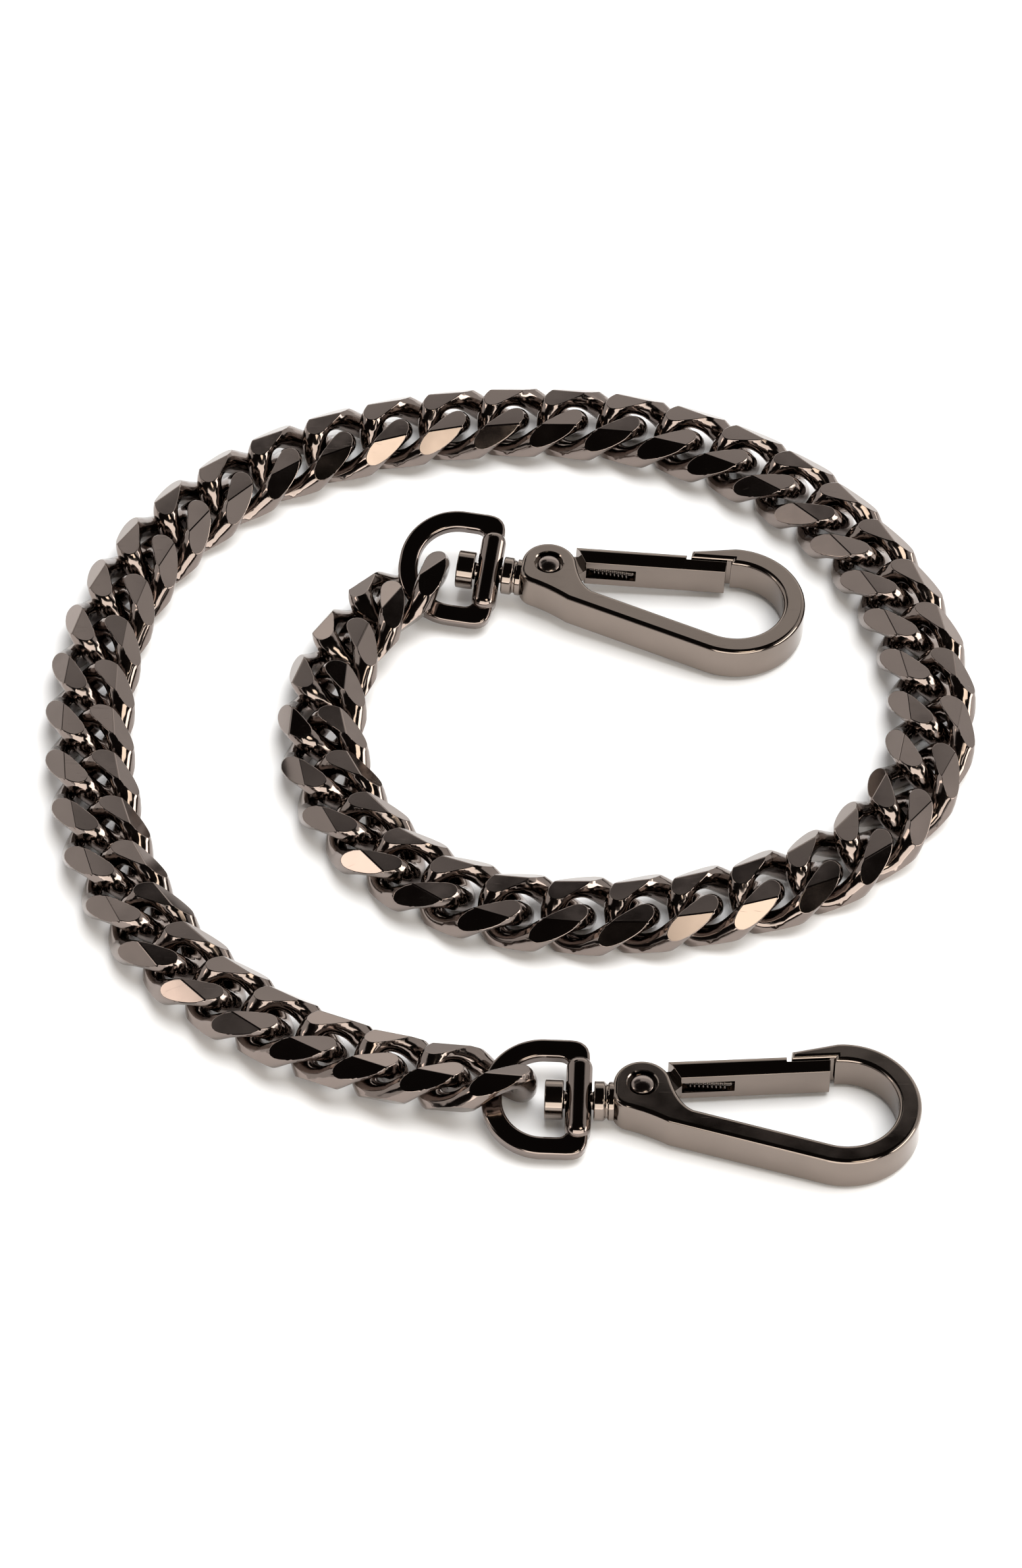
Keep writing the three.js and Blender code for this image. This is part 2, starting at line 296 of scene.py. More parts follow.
def hook_pose(side):
    """The hook's own axes: u along the stem, v towards the gate, u = 0 in the ring's cross bar."""
    swivel = JOINTS[f"swivel_{side}"]
    along = Vector(swivel["axis"])
    upward = Vector(JOINTS[f"gate_{side}_pivot"]["axis"])
    return pose_of(along, upward.cross(along), Vector(swivel["pos_m"]))


def ring_pose(side):
    """The ring shares the hook's stem axis and is turned about it."""
    swivel = JOINTS[f"swivel_{side}"]
    return pose_of(
        Vector(swivel["axis"]), Vector(JOINTS[f"ring_tilt_{side}"]["axis"]), Vector(swivel["pos_m"]),
    )


def surface_axes(node):
    """Centre and long, wide and thin directions of a node, weighted by the area of its faces."""
    mesh = node.data
    mesh.calc_loop_triangles()
    places = np.array([vertex.co[:] for vertex in mesh.vertices])
    corners = places[np.array([triangle.vertices[:] for triangle in mesh.loop_triangles])]
    areas = np.array([triangle.area for triangle in mesh.loop_triangles])
    middles = corners.mean(axis=1)
    centre = (middles * areas[:, None]).sum(axis=0) / areas.sum()
    offsets = corners - centre
    spread = np.einsum("t,tci,tcj->ij", areas, offsets, offsets)
    directions = np.linalg.eigh(spread)[1].T
    return Vector(centre), Vector(directions[2]), Vector(directions[1])


def link_poses():
    """The pose of every link, x towards the next link and z up."""
    axes = [surface_axes(NODES[name]) for name in LINK_NAMES]
    poses = []
    for index, (centre, along, across) in enumerate(axes):
        last = index == len(axes) - 1
        travel = centre - axes[index - 1][0] if last else axes[index + 1][0] - centre
        along = along if along.dot(travel) > 0 else -along
        across = across if along.cross(across).z > 0 else -across
        poses.append(pose_of(along, across, centre))
    flat = len(poses) // 2
    before = Vector(JOINTS[f"play_{flat:02d}_{flat + 1:02d}"]["pos_m"])
    after = Vector(JOINTS[f"play_{flat + 1:02d}_{flat + 2:02d}"]["pos_m"])
    travel = after - before
    true = pose_of(travel, Vector((0, 0, 1)).cross(travel), (before + after) / 2)
    correction = poses[flat].inverted() @ true
    return [pose @ correction for pose in poses]


# ---- materials ------------------------------------------------------------------------------
CLOUD_SIZE = 5  # millimetres across a cloudy patch in the plating
HAIRLINE_WIDTH = 0.09  # millimetres; about twice as wide as in life, so that the lines show


def add(tree, kind, inputs=None, **settings):
    """Adds a node, sets its options, and sets or links its inputs."""
    node = tree.nodes.new(kind)
    for name, value in settings.items():
        setattr(node, name, value)
    for name, value in (inputs or {}).items():
        if isinstance(value, bpy.types.NodeSocket):
            tree.links.new(value, node.inputs[name])
        else:
            node.inputs[name].default_value = value
    return node


def both(tree, first, second, operation="MULTIPLY"):
    """Two sockets put together by a math operation."""
    node = add(tree, "ShaderNodeMath", operation=operation)
    tree.links.new(first, node.inputs[0])
    tree.links.new(second, node.inputs[1])
    return node.outputs[0]


def fresh_material(name):
    """An empty material with its output node."""
    material = bpy.data.materials.new(name)
    material.use_nodes = True
    material.node_tree.nodes.clear()
    return material, material.node_tree, add(material.node_tree, "ShaderNodeOutputMaterial")


def black_nickel(name, tint, roughness, haze, scratch_depth, scratch_angle):
    """Black-nickel plate on polished metal: a dark warm mirror. The plating is a little cloudy in
    patches a few millimetres across, and handling has left hairline scratches that catch the light."""
    material, tree, output = fresh_material(name)
    place_on = add(tree, "ShaderNodeTexCoord").outputs["Object"]
    cloud = add(tree, "ShaderNodeTexNoise", {
        "Vector": place_on, "Scale": 1 / (CLOUD_SIZE * MM), "Detail": 3.0,
    })
    shade = add(tree, "ShaderNodeMix", {
        "Factor": cloud.outputs["Fac"],
        "A": (*[channel * 0.9 for channel in tint], 1),
        "B": (*[channel * 1.08 for channel in tint], 1),
    }, data_type="RGBA")
    blur = add(tree, "ShaderNodeMapRange", {
        "Value": cloud.outputs["Fac"], "From Min": 0.3, "From Max": 0.7,
        "To Min": roughness, "To Max": roughness + haze,
    })
    heights = []
    for turn, run in ((scratch_angle, 6), (scratch_angle + 1.2, 4)):
        stretched = add(tree, "ShaderNodeMapping", {
            "Vector": place_on, "Rotation": (0, 0, turn),
            "Scale": (1 / (run * MM), 1 / (HAIRLINE_WIDTH * MM), 1 / (2 * MM)),
        })
        streak = add(tree, "ShaderNodeTexNoise", {
            "Vector": stretched.outputs["Vector"], "Scale": 1.0, "Detail": 2.0,
        })
        line = add(tree, "ShaderNodeMapRange", {
            "Value": streak.outputs["Fac"], "From Min": 0.73, "From Max": 0.81, "To Min": 0.0, "To Max": 1.0,
        })
        heights.append(line.outputs["Result"])
    bump = add(tree, "ShaderNodeBump", {
        "Height": both(tree, heights[0], heights[1], "MAXIMUM"),
        "Strength": 1.0, "Distance": scratch_depth * MM,
    }, invert=True)
    shader = add(tree, "ShaderNodeBsdfPrincipled", {
        "Base Color": shade.outputs["Result"], "Metallic": 1.0,
        "Roughness": blur.outputs["Result"], "Normal": bump.outputs["Normal"],
    })
    tree.links.new(shader.outputs["BSDF"], output.inputs["Surface"])
    return material


def matt_board(name, tint):
    """White coated board: an even pale surface with the faintest tooth and no shine."""
    material, tree, output = fresh_material(name)
    place_on = add(tree, "ShaderNodeTexCoord").outputs["Object"]
    tooth = add(tree, "ShaderNodeTexNoise", {"Vector": place_on, "Scale": 1 / (2 * MM), "Detail": 2.0})
    bump = add(tree, "ShaderNodeBump", {
        "Height": tooth.outputs["Fac"], "Strength": 0.1, "Distance": 0.05 * MM,
    })
    shader = add(tree, "ShaderNodeBsdfPrincipled", {
        "Base Color": (*tint, 1), "Roughness": 0.7, "Specular IOR Level": 0.1,
        "Normal": bump.outputs["Normal"],
    })
    tree.links.new(shader.outputs["BSDF"], output.inputs["Surface"])
    return material


# ---- the link -------------------------------------------------------------------------------
RIM_SLOPE = 0.4  # depth of a facet's rim as a share of its width
FACET_AREA = 0.8  # square millimetres; smaller faces in a cut plane are slivers and get no rim
SAME_DIRECTION = 0.999  # cosine above which a face lies in a cut plane
ROCK = math.radians(1.2)  # how far a lying link rocks off its true place
ROLLED = math.radians(2)  # end links turned further than this stay as they are


def link_line(fraction, sizes):
    """A point on the middle line of the link's wire: a squared oval, twisted about its long axis."""
    corner = 2.8  # 2 would be an ellipse, higher is squarer
    ease = 0.8  # how early the twist sets in
    angle = 2 * math.pi * fraction
    x = math.copysign(abs(math.cos(angle)) ** (2 / corner), math.cos(angle))
    side = math.copysign(abs(math.sin(angle)) ** (2 / corner), math.sin(angle))
    y = side * (sizes.width - sizes.wire) / 2
    turn = -sizes.twist * math.copysign(abs(x) ** ease, x)
    return Vector((x * sizes.reach, y * math.cos(turn), y * math.sin(turn))) / MM


def facet_planes(sizes):
    """A point on each cut plane of the link and the plane's outward direction."""
    top = Vector((0, sizes.flat_half_width, sizes.height / 2)) / MM
    planes = []
    for up in (1, -1):
        planes.append((Vector((0, 0, up * top.z)), Vector((0, 0, up))))
        for side in (1, -1):
            slope = Vector((0, side * math.sin(sizes.bevel_angle), up * math.cos(sizes.bevel_angle)))
            planes.append((Vector((0, side * top.y, up * top.z)), slope))
    return planes


def model_link(sizes):
    """One link: round wire along a twisted line, then cut flat on top, below and on its flanks."""
    bpy.ops.object.select_all(action="DESELECT")
    bpy.ops.curve.primitive_bezier_circle_add(radius=sizes.reach / MM, location=(0, 0, 0))
    link = bpy.context.object
    bpy.ops.object.mode_set(mode="EDIT")
    bpy.ops.curve.select_all(action="SELECT")
    bpy.ops.curve.subdivide(number_cuts=sizes.line_points // 4 - 1)
    bpy.ops.object.mode_set(mode="OBJECT")
    line = link.data
    line.dimensions = "3D"
    line.twist_mode = "Z_UP"
    points = line.splines[0].bezier_points
    for index, point in enumerate(points):
        point.handle_left_type = "AUTO"
        point.handle_right_type = "AUTO"
        point.co = link_line(index / len(points), sizes)
    line.bevel_depth = sizes.wire / 2 / MM
    line.bevel_resolution = 12
    line.resolution_u = 2
    bpy.ops.object.convert(target="MESH")
    link = bpy.context.object
    rim = sizes.rim / MM
    drop = rim * RIM_SLOPE  # the cut is made this much low, and the facet is raised again inside its rim
    for point, outward in facet_planes(sizes):
        shave(link, point - outward * drop, outward)
    edit_all(link)
    bpy.ops.mesh.remove_doubles(threshold=0.02)
    close_edit()
    facets = [outward for _, outward in facet_planes(sizes)]
    pick(link)
    bpy.ops.object.mode_set(mode="EDIT")
    bpy.ops.mesh.select_mode(type="FACE")
    bpy.ops.mesh.select_all(action="DESELECT")
    bpy.ops.object.mode_set(mode="OBJECT")
    for face in link.data.polygons:
        cut = max(face.normal.dot(outward) for outward in facets) > SAME_DIRECTION
        face.select = cut and face.area > FACET_AREA
    bpy.ops.object.mode_set(mode="EDIT")
    bpy.ops.mesh.inset(thickness=rim, depth=drop, use_individual=True, use_even_offset=True)
    bpy.ops.object.mode_set(mode="OBJECT")
    polish(link)
    return link


class WALLETCHAIN_OT_links(bpy.types.Operator):
    """Models one cut curb link and copies it to every place along the chain"""

    bl_idname = "walletchain.links"
    bl_label = "Links"

    def execute(self, context):
        material = black_nickel("Black nickel plate, cut and polished links",
                                context.scene.finish_colours.link, 0.07, 0.06, 0.0016, 0.5)
        template = model_link(context.scene.link_sizes)
        chance = random.Random(4)
        for name, pose in zip(LINK_NAMES, link_poses()):
            # Real links rock a little in each other, so no two facets mirror quite the same spot.
            rock = 0 if abs(pose.to_euler().x) > ROLLED else ROCK
            turn = Euler((chance.uniform(-rock, rock), chance.uniform(-rock, rock), 0))
            lying = pose @ turn.to_matrix().to_4x4()
            place(template, f"curb_{name}", lying, name, SLOTS["link"], material, name)
        bpy.data.objects.remove(template, do_unlink=True)
        return {"FINISHED"}


# ---- the snap hook --------------------------------------------------------------------------
RIVET = {"u": 9.1, "v": 1.3, "radius": 1.0, "head": 1.8, "sink": 2.2, "sink_depth": 0.9}
BOW_CENTRE = (38.2, -1.0)
CROSS_BAR = {"half_width": 1.9, "half_length": 6.6, "thickness": 4.6, "rim": 1.75}
STEM = {"radius": 1.3, "gap": 0.3, "head": 2.9, "head_length": 2.7, "collar": 2.4, "root": 0.6}
GROOVE = {"start": 1.5, "floor_start": 1.7, "floor_end": 2.0, "end": 2.2, "depth": 0.4, "step": 0.1}
RING = {"reach": 12.5, "half_span": 7.9, "rim": 0.6}
RING_CORNERS = {"outer_far": 8.9, "outer_near": 3, "inner_far": 6, "inner_near": 1.5}
CHEEK_FOOT = (7.6, -3.3)  # where the cheek's round back meets the arm's outer edge
ARM_OUTSIDE = (13, -5.6)  # where the arm's outer edge turns straight
ARM_INSIDE = (16.5, -3.1)  # where the arm's inner edge turns up towards the cheek
ARM_ANGLE = -104  # degrees round the bow at which the arm leaves it
NOSE_ANGLE = 96  # degrees round the bow at which the nose begins
CHEEK_ANGLE = 14  # degrees round the rivet at which the cheek meets the arm's inner edge
KNUCKLE = 4.2
TONGUE = {"radius": 3.4, "thickness": 2.0}
FORK_HALF_GAP = 1.3
GATE_END = 36.1
GAP = 0.35
LIP = {"start": 30.5, "thickness": 1.4, "rise": 0.6}
SLOT = {"start": 14.8, "end": 22.4, "half_height": 1.1, "depth": 2.0}
SPRING = {"wire": 0.14, "radius": 0.72, "pitch": 0.62, "coils": 9, "start": 0.9, "depth": 1.9}
PUSHER = {"radius": 0.42, "length": 7.0, "start": 0.3}
RIVET_PLAY = 0.3  # between the rivet's shank and its holes
FINE_RIM = 0.09  # the last rounding of every cut edge
FINE_ANGLE = math.radians(50)
PAST = 1  # how far a cutting tool reaches past what it cuts


def gate_edge(u):
    """Height of the gate's outer edge above the stem's axis at u."""
    return 5.5 + (8.1 - 5.5) * (u - RIVET["u"]) / (GATE_END - RIVET["u"])


def lip_edge(u):
    """Height of the underside of the nose's lip, which laps over the gate's stepped end."""
    return gate_edge(u) + LIP["rise"] - LIP["thickness"]


def hook_outline(sizes):
    """The hook's body seen from above: cheek, lower arm, bow, nose, lip, and back along the inside."""
    radius = sizes.bow_radius / MM
    inner = radius - sizes.bow_width / MM
    nose = GATE_END + 2 * GAP
    inner_angle = math.degrees(math.acos((nose - BOW_CENTRE[0]) / inner))
    pivot = (RIVET["u"], RIVET["v"])
    back = RIVET["u"] - KNUCKLE
    outline = sweep((back, -0.4), (back, -2.8), CHEEK_FOOT, 8)
    outline += sweep(CHEEK_FOOT, (10, -4.0), ARM_OUTSIDE, 6)[1:]
    outline += arc(BOW_CENTRE, radius, ARM_ANGLE, NOSE_ANGLE, 56)
    tip = LIP["start"]
    outline += [(tip, lip_edge(tip) + LIP["thickness"]), (tip, lip_edge(tip)), (nose, lip_edge(nose))]
    outline += arc(BOW_CENTRE, inner, inner_angle, ARM_ANGLE, 48)
    cheek = arc(pivot, KNUCKLE, CHEEK_ANGLE, 180, 28)
    outline += sweep(ARM_INSIDE, (14.4, -2.1), cheek[0], 8)
    return outline + cheek[1:]


def rivet_hole(half):
    """The rivet's hole with a chamfered sink for its head on both faces."""
    sink = half - RIVET["sink_depth"]
    hole = RIVET["radius"] + RIVET_PLAY
    chamfer = 0.15
    mouth = RIVET["sink"] + PAST + chamfer
    side = [(half + PAST, 0), (half + PAST, mouth), (half - chamfer, RIVET["sink"])]
    side += [(sink, RIVET["sink"]), (sink, hole)]
    profile = [(-u, radius) for u, radius in side] + side[::-1]
    return upright(turned(profile, 48), RIVET["u"], RIVET["v"])


def model_stem():
    """The swivel's headed stem and its collar, with softly rounded shoulders."""
    inner = CROSS_BAR["half_width"] + STEM["gap"]
    tip = -inner - STEM["head_length"]
    root = inner + STEM["collar"] + STEM["root"]
    head = STEM["head"]
    floor = head - GROOVE["depth"]
    shoulder = head - GROOVE["step"]
    profile = [
        (tip, 0), (tip, head), (-inner, head), (-inner, STEM["radius"]),
        (inner, STEM["radius"]), (inner, head),
        (inner + GROOVE["start"], head), (inner + GROOVE["floor_start"], floor),
        (inner + GROOVE["floor_end"], floor), (inner + GROOVE["end"], shoulder), (root, shoulder), (root, 0),
    ]
    stem = turned(profile)
    round_rims(stem, 0.45, 4)
    return stem


def model_hook(sizes):
    """The hook's body: a thick plate with rounded rims, forked for the gate, on its swivel stem."""
    thickness = sizes.thickness / MM
    hook = plate(hook_outline(sizes), thickness)
    round_faces(hook, thickness / 2, sizes.rim / MM, 5)
    fork_start = RIVET["u"] - TONGUE["radius"] - 0.4
    fork_floor = RIVET["v"] - TONGUE["radius"] - 0.3
    fork_end = LIP["start"] - 3
    above = RIVET["v"] + KNUCKLE + PAST
    fork = block((fork_start, fork_floor, -FORK_HALF_GAP), (fork_end, above, FORK_HALF_GAP))
    combine(hook, fork, "DIFFERENCE")
    combine(hook, model_stem(), "UNION")
    round_rims(hook, FINE_RIM, 2, FINE_ANGLE)
    combine(hook, rivet_hole(thickness / 2), "DIFFERENCE")
    polish(hook)
    return hook


def framed(u0, u1, half_span, far_radius, near_radius):
    """A frame outline with two large far corners and two small near ones."""
    far = u0 + far_radius
    edge = half_span - far_radius
    outline = sweep((u1 - near_radius, -half_span), (u1, -half_span), (u1, near_radius - half_span), 6)
    outline += sweep((u1, half_span - near_radius), (u1, half_span), (u1 - near_radius, half_span), 6)
    outline += arc((far, edge), far_radius, 90, 180, 24)
    outline += arc((far, -edge), far_radius, 180, 270, 24)
    return outline


def model_ring(sizes):
    """The ring: a flat bar bent round to a D, closed by a thick bored cross bar."""
    half = sizes.ring_bar / MM / 2
    thickness = sizes.ring_thickness / MM
    reach = RING["reach"]
    span = RING["half_span"]
    corners = RING_CORNERS
    outside = framed(-reach - half, half, span + half, corners["outer_far"], corners["outer_near"])
    inside = framed(-reach + half, -half, span - half, corners["inner_far"], corners["inner_near"])
    ring = plate(outside, thickness)
    combine(ring, plate(inside, thickness + 2 * PAST), "DIFFERENCE")
    round_rims(ring, RING["rim"], 5)
    low = (-CROSS_BAR["half_width"], -CROSS_BAR["half_length"], -CROSS_BAR["thickness"] / 2)
    bar = block(low, tuple(-value for value in low))
    round_rims(bar, CROSS_BAR["rim"], 9)
    combine(ring, bar, "UNION")
    bore = STEM["radius"] + STEM["gap"]
    end = CROSS_BAR["half_width"] + PAST
    combine(ring, turned([(-end, 0), (-end, bore), (end, bore), (end, 0)], 48), "DIFFERENCE")
    round_rims(ring, FINE_RIM, 2, FINE_ANGLE)
    polish(ring)
    return ring


def model_gate(sizes):
    """The gate: a bar with a stepped end under the lip, and a tongue that turns on the rivet."""
    start = RIVET["u"] + KNUCKLE + 0.4
    step = LIP["start"] - 2 * GAP
    width = sizes.gate_width / MM
    bar_outline = [
        (start + 0.9, gate_edge(start) - width), (GATE_END, gate_edge(GATE_END) - width),
        (GATE_END, lip_edge(GATE_END) - GAP), (step, lip_edge(step) - GAP), (step, gate_edge(step)),
        (start - 1, gate_edge(start - 1)),
    ]
    gate = plate(bar_outline, sizes.gate_thickness / MM)
    for up in (1, -1):
        # A ridge runs along both faces: a steep chamfer outside it and a slight slope inside it.
        ridge = Vector((start, gate_edge(start) - 1.1, up * sizes.gate_thickness / MM / 2))
        shave(gate, ridge, Vector((-0.04, 0.4, up * 0.92)).normalized())
        shave(gate, ridge, Vector((0.014, -0.14, up * 0.99)).normalized())
    round_rims(gate, 0.3, 4, math.radians(40))
    root = start + 2
    tongue_outline = arc((RIVET["u"], RIVET["v"]), TONGUE["radius"], 75, 300, 36)
    tongue_outline += [(root, gate_edge(start) - width + 0.6), (root, gate_edge(start) - 0.4)]
    tongue = plate(tongue_outline, TONGUE["thickness"])
    combine(gate, tongue, "UNION")
    hole = RIVET["radius"] + RIVET_PLAY
    end = TONGUE["thickness"] / 2 + PAST
    bore = upright(turned([(-end, 0), (-end, hole), (end, hole), (end, 0)], 48), RIVET["u"], RIVET["v"])
    combine(gate, bore, "DIFFERENCE")
    slot_top = gate_edge(SLOT["start"]) - width + SLOT["depth"]
    half = SLOT["half_height"]
    below = gate_edge(SLOT["start"]) - width - PAST
    combine(gate, block((SLOT["start"], below, -half), (SLOT["end"], slot_top, half)), "DIFFERENCE")
    round_rims(gate, 0.08, 2, FINE_ANGLE)
    polish(gate)
    return gate


def model_rivet(sizes):
    """The rivet: a low domed head at each end of a plain shank."""
    half = sizes.thickness / MM / 2
    top = half + 0.2
    seat = half - RIVET["sink_depth"] + 0.3
    head = RIVET["head"]
    dome = [(top - 0.75 * (1 - math.cos(a)), head * math.sin(a)) for a in np.linspace(math.pi / 2, 0, 9)]
    profile = [(0.3 - half, 0), (0.3 - half, head - 0.3), (-seat, head), (-seat, RIVET["radius"])]
    profile += [(seat, RIVET["radius"]), (seat, head), *dome[:-1], (top, 0)]
    rivet = upright(turned(profile, 48), RIVET["u"], RIVET["v"])
    polish(rivet)
    return rivet


def model_spring():
    """The coil spring in the gate's slot, with flat closed ends."""
    bpy.ops.object.select_all(action="DESELECT")
    bpy.ops.mesh.primitive_circle_add(
        vertices=10, radius=SPRING["wire"], fill_type="NOTHING", location=(0, 0, 0),
    )
    spring = bpy.context.object
    middle_v = gate_edge(SLOT["start"]) - SPRING["depth"]
    for vertex in spring.data.vertices:
        vertex.co = (vertex.co.x, vertex.co.y + SPRING["radius"], 0)
    apply_modifier(
        spring, "SCREW", axis="X", angle=2 * math.pi, steps=20, render_steps=20,
        screw_offset=SPRING["pitch"], iterations=SPRING["coils"], use_merge_vertices=False,
    )
    edit_all(spring)
    bpy.ops.mesh.select_all(action="DESELECT")
    bpy.ops.mesh.select_mode(type="EDGE")
    bpy.ops.mesh.select_non_manifold()
    bpy.ops.mesh.edge_face_add()
    close_edit()
    spring.data.transform(Matrix.Translation((SLOT["start"] + SPRING["start"], middle_v, 0)))
    polish(spring)
    return spring


def model_pusher():
    """The round-ended pin that the spring pushes against the hook."""
    middle_v = gate_edge(SLOT["start"]) - SPRING["depth"]
    radius = PUSHER["radius"]
    end = PUSHER["length"]
    pin = turned([(0, 0), (0, radius), (end - 0.4, radius), (end - 0.1, radius - 0.12), (end, 0)], 32)
    round_rims(pin, 0.12, 3)
    pin.data.transform(Matrix.Translation((SLOT["start"] + PUSHER["start"], middle_v, 0)))
    polish(pin)
    return pin


def place_pair(template, kind, pose_for, body_kind, node_kind, slot, material):
    """Copies a hook piece to both ends of the chain and removes the pattern."""
    for side in SIDES:
        node = f"{node_kind}_{side}" if node_kind else None
        place(template, f"{kind}_{side}", pose_for(side), f"{body_kind}_{side}", slot, material, node)
    bpy.data.objects.remove(template, do_unlink=True)


class WALLETCHAIN_OT_rings(bpy.types.Operator):
    """Models the ring that joins each hook to its end link"""

    bl_idname = "walletchain.rings"
    bl_label = "Rings"

    def execute(self, context):
        material = black_nickel("Black nickel plate, stamped rings",
                                context.scene.finish_colours.ring, 0.06, 0.05, 0.0014, 0.2)
        ring = model_ring(context.scene.hook_sizes)
        place_pair(ring, "swivel_ring", ring_pose, "ring", "ring", SLOTS["ring"], material)
        return {"FINISHED"}


class WALLETCHAIN_OT_hooks(bpy.types.Operator):
    """Models the forked hook body with its swivel stem"""

    bl_idname = "walletchain.hooks"
    bl_label = "Hook bodies"

    def execute(self, context):
        material = black_nickel("Black nickel plate, cast hooks",
                                context.scene.finish_colours.hook, 0.06, 0.05, 0.0014, 0.35)
        hook = model_hook(context.scene.hook_sizes)
        place_pair(hook, "hook_body", hook_pose, "hook", "hook", SLOTS["hook"], material)
        return {"FINISHED"}


class WALLETCHAIN_OT_gates(bpy.types.Operator):
    """Models the sprung gate that closes each hook"""

    bl_idname = "walletchain.gates"
    bl_label = "Gates"

    def execute(self, context):
        material = black_nickel("Black nickel plate, milled gates",
                                context.scene.finish_colours.gate, 0.06, 0.05, 0.0014, 0.1)
        gate = model_gate(context.scene.hook_sizes)
        place_pair(gate, "gate_bar", hook_pose, "gate", "gate", SLOTS["gate"], material)
        return {"FINISHED"}


class WALLETCHAIN_OT_rivets(bpy.types.Operator):
    """Models the rivet that each gate turns on"""

    bl_idname = "walletchain.rivets"
    bl_label = "Rivets"

    def execute(self, context):
        material = black_nickel("Bare polished steel rivets",
                                context.scene.finish_colours.rivet, 0.13, 0.08, 0.001, 0.8)
        rivet = model_rivet(context.scene.hook_sizes)
        place_pair(rivet, "rivet_pin", hook_pose, "hook", "rivet", SLOTS["rivet"], material)
        return {"FINISHED"}


class WALLETCHAIN_OT_springs(bpy.types.Operator):
    """Models the spring and pusher that lie in each gate's slot"""

    bl_idname = "walletchain.springs"
    bl_label = "Gate springs"

    def execute(self, context):
        # Spring and pusher get the steel colour darkened by painted shade, standing in for the shade inside
        # the gate's slot.
        material = black_nickel("Drawn spring steel darkened with painted slot shade",
                                context.scene.finish_colours.spring, 0.18, 0.06, 0.0008, 0.0)
        place_pair(model_spring(), "gate_spring", hook_pose, "gate", None, SLOTS["rivet"], material)
        place_pair(model_pusher(), "gate_pusher", hook_pose, "gate", None, SLOTS["rivet"], material)
        return {"FINISHED"}


# ---- the stage ------------------------------------------------------------------------------
# Millimetres from the first link's centre and from the chain's top, degrees down, and the focal length.
CAMERA = {"right": 5, "back": 564.6, "up": 700, "elevation": 48.5, "lens": 143.7}


def soft_box(name, location, size, watts, tint):
    """A rectangular soft light aimed at the middle of the floor."""
    bpy.ops.object.select_all(action="DESELECT")
    bpy.ops.object.light_add(type="AREA", location=location)
    lamp = bpy.context.object
    lamp.name = name
    lamp.rotation_euler = (-Vector(location)).to_track_quat("-Z", "Y").to_euler()
    lamp.data.shape = "RECTANGLE"
    lamp.data.size = size[0]
    lamp.data.size_y = size[1]
    lamp.data.energy = watts
    lamp.data.color = linear(tint)


def window(tree, value, low, high, soft):
    """A socket that is 1 where a value lies between two limits and fades to 0 outside them."""
    product = add(tree, "ShaderNodeMath", operation="MULTIPLY")
    for index, (first, last) in enumerate(((low - soft, low), (high + soft, high))):
        ramp = add(tree, "ShaderNodeMapRange", {
            "Value": value, "From Min": first, "From Max": last, "To Min": 0.0, "To Max": 1.0,
        }, interpolation_type="SMOOTHSTEP")
        tree.links.new(ramp.outputs["Result"], product.inputs[index])
    return product.outputs[0]


def scaled(tree, value, factor):
    """A socket times a number."""
    node = add(tree, "ShaderNodeMath", operation="MULTIPLY")
    tree.links.new(value, node.inputs[0])
    node.inputs[1].default_value = factor
    return node.outputs[0]


def region(tree, parts, **limits):
    """A socket that is 1 within limits of direction, given for each axis as (low, high, softness)."""
    product = None
    for axis, limit in limits.items():
        inside = window(tree, parts[axis], *limit)
        product = both(tree, product, inside) if product else inside
    return product


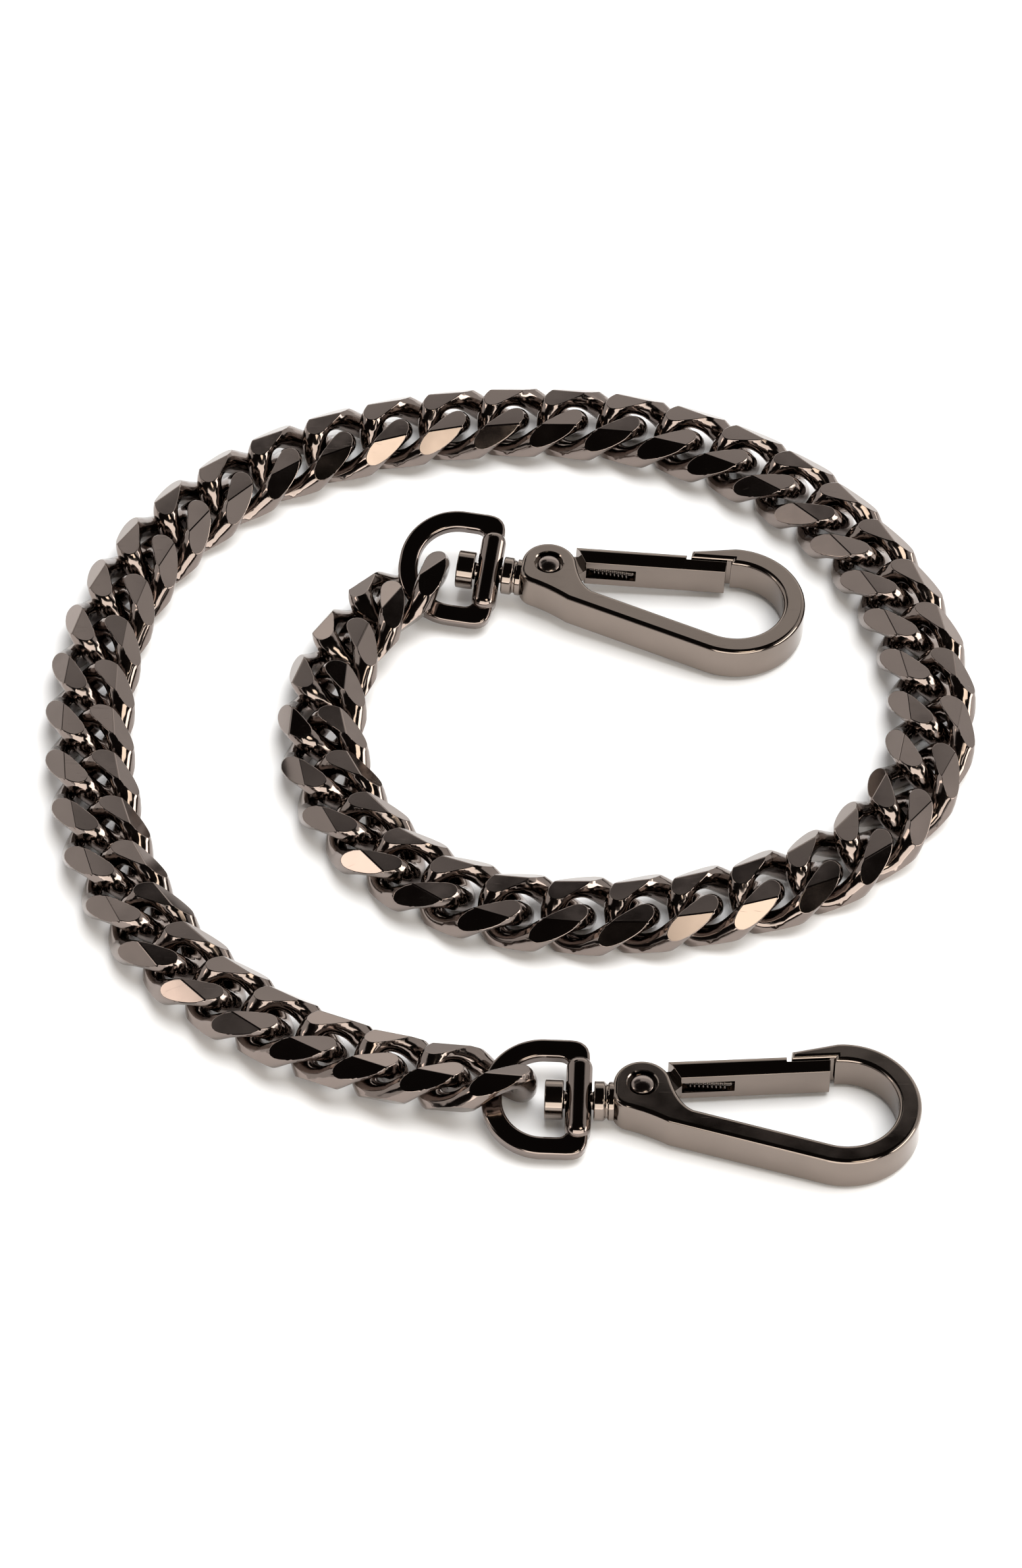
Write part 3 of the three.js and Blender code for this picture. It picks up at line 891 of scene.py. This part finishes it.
def studio_surround(scene):
    """What the metal mirrors: pale walls behind with two panels above them and a dark flag on the left,
    a dim border along the ceiling, bright low windows in front and on the right, a dim one behind, and
    a dark ceiling and camera side. Seen directly, it is plain and pale."""
    world = bpy.data.worlds.new("Studio")
    scene.world = world
    world.use_nodes = True
    tree = world.node_tree
    tree.nodes.clear()
    output = add(tree, "ShaderNodeOutputWorld")
    direction = add(tree, "ShaderNodeTexCoord").outputs["Generated"]
    parts = add(tree, "ShaderNodeSeparateXYZ", {"Vector": direction}).outputs
    # X points right, Y away from the camera and Z up. Heights are sines: 0.70 is 44 degrees, 0.76 is 49.
    behind = {"Y": (-0.1, 1, 0.15)}
    walls = region(tree, parts, Z=(-1, 0.7, 0.035), **behind)
    flag = region(tree, parts, X=(-0.52, -0.13, 0.02), Z=(0.55, 1, 0.03))
    left_panel = region(tree, parts, X=(-0.105, -0.055, 0.015), Z=(0.6, 0.745, 0.03), **behind)
    right_panel = region(tree, parts, X=(0.055, 0.13, 0.015), Z=(0.6, 0.742, 0.015), **behind)
    border = scaled(tree, region(tree, parts, Z=(0.755, 0.768, 0.007), **behind), 0.7)
    horizon = region(tree, parts, Z=(-1, 0.12, 0.06))
    pale = both(tree, walls, both(tree, walls, flag), "SUBTRACT")
    for surface in (left_panel, right_panel, border, horizon):
        pale = both(tree, pale, surface, "MAXIMUM")
    rear = region(tree, parts, X=(-0.5, 0.6, 0.04), Y=(0.3, 1, 0.05), Z=(0.235, 0.45, 0.015))
    front = region(tree, parts, X=(-0.38, 0.6, 0.06), Y=(-1, -0.35, 0.1), Z=(0.05, 0.53, 0.03))
    right = region(tree, parts, X=(0.5, 1, 0.05), Y=(-0.45, 0.18, 0.03), Z=(0.12, 0.38, 0.015))
    windows = scaled(tree, rear, 0.7)
    for opening, strength in ((front, 3.5), (right, 6.5)):
        windows = both(tree, windows, scaled(tree, opening, strength), "MAXIMUM")
    shade = add(tree, "ShaderNodeMix", {
        "Factor": pale, "A": (*linear("1d1a19"), 1), "B": (*linear("f4f2f0"), 1),
    }, data_type="RGBA")
    wall_light = add(tree, "ShaderNodeBackground", {"Color": shade.outputs["Result"], "Strength": 1.0})
    window_light = add(tree, "ShaderNodeBackground", {
        "Color": (*linear("fffaf3"), 1), "Strength": windows,
    })
    mirrored = add(tree, "ShaderNodeAddShader")
    tree.links.new(wall_light.outputs[0], mirrored.inputs[0])
    tree.links.new(window_light.outputs[0], mirrored.inputs[1])
    plain = add(tree, "ShaderNodeBackground", {"Color": (*linear("fafafa"), 1), "Strength": 1.0})
    direct = add(tree, "ShaderNodeLightPath").outputs["Is Camera Ray"]
    seen = add(tree, "ShaderNodeMixShader", {"Fac": direct})
    tree.links.new(mirrored.outputs[0], seen.inputs[1])
    tree.links.new(plain.outputs[0], seen.inputs[2])
    tree.links.new(seen.outputs[0], output.inputs["Surface"])


class WALLETCHAIN_OT_stage(bpy.types.Operator):
    """Lays the floor and sets the surround, the lights and the camera"""

    bl_idname = "walletchain.stage"
    bl_label = "Stage"

    def execute(self, context):
        scene = context.scene
        bpy.ops.object.select_all(action="DESELECT")
        bpy.ops.mesh.primitive_plane_add(size=8, location=(0, 0, 0))
        floor = context.object
        floor.name = "floor"
        floor.data.materials.append(matt_board("White coated board", scene.finish_colours.floor))
        studio_surround(scene)
        scene.view_settings.view_transform = "Standard"
        soft_box("right front box", (0.52, -0.9, 1.23), (0.5, 0.34), 2.7, "fff4e2")
        soft_box("left box", (-1.35, -0.04, 0.85), (0.3, 0.2), 0.85, "fff1e4")
        bpy.ops.object.select_all(action="DESELECT")
        bpy.ops.object.light_add(type="SUN", rotation=(math.radians(-7), math.radians(13), 0))
        sky = context.object
        sky.name = "overhead silk"
        sky.data.energy = 3.3
        sky.data.angle = math.radians(50)
        sky.visible_glossy = False

        first = link_poses()[0].translation
        chain_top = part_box(LINK_NAMES[len(LINK_NAMES) // 2])[1].z
        bpy.ops.object.select_all(action="DESELECT")
        bpy.ops.object.camera_add(
            location=(
                first.x + CAMERA["right"] * MM, first.y - CAMERA["back"] * MM, chain_top + CAMERA["up"] * MM,
            ),
            rotation=(math.radians(90 - CAMERA["elevation"]), 0, 0),
        )
        camera = context.object
        camera.data.sensor_width = 36
        camera.data.lens = CAMERA["lens"]
        camera.data.clip_start = 0.02
        camera.data.clip_end = 50
        scene.camera = camera
        return {"FINISHED"}


class WALLETCHAIN_PT_panel(bpy.types.Panel):
    """Sizes, colours and steps of the wallet chain"""

    bl_idname = "WALLETCHAIN_PT_panel"
    bl_label = "Wallet Chain"
    bl_space_type = "VIEW_3D"
    bl_region_type = "UI"
    bl_category = "Wallet Chain"

    def draw(self, context):
        for group in (context.scene.link_sizes, context.scene.hook_sizes, context.scene.finish_colours):
            box = self.layout.box()
            for name in group.__annotations__:
                box.prop(group, name)
        for step in STEPS:
            self.layout.operator(step.bl_idname)


STEPS = (
    WALLETCHAIN_OT_stage, WALLETCHAIN_OT_links, WALLETCHAIN_OT_rings, WALLETCHAIN_OT_hooks,
    WALLETCHAIN_OT_gates, WALLETCHAIN_OT_rivets, WALLETCHAIN_OT_springs,
)
GROUPS = {"link_sizes": LinkSizes, "hook_sizes": HookSizes, "finish_colours": FinishColours}


def register():
    """Registers the settings, the steps and the panel."""
    for kind in (*GROUPS.values(), *STEPS, WALLETCHAIN_PT_panel):
        bpy.utils.register_class(kind)
    for name, group in GROUPS.items():
        setattr(bpy.types.Scene, name, PointerProperty(type=group))


def unregister():
    """Removes the settings, the steps and the panel."""
    for name in GROUPS:
        delattr(bpy.types.Scene, name)
    for kind in reversed((*GROUPS.values(), *STEPS, WALLETCHAIN_PT_panel)):
        bpy.utils.unregister_class(kind)


def main():
    """Registers the steps and builds every piece in order."""
    register()
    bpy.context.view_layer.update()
    for step in STEPS:
        getattr(bpy.ops.walletchain, step.bl_idname.split(".")[1])()


if __name__ == "__main__":
    main()
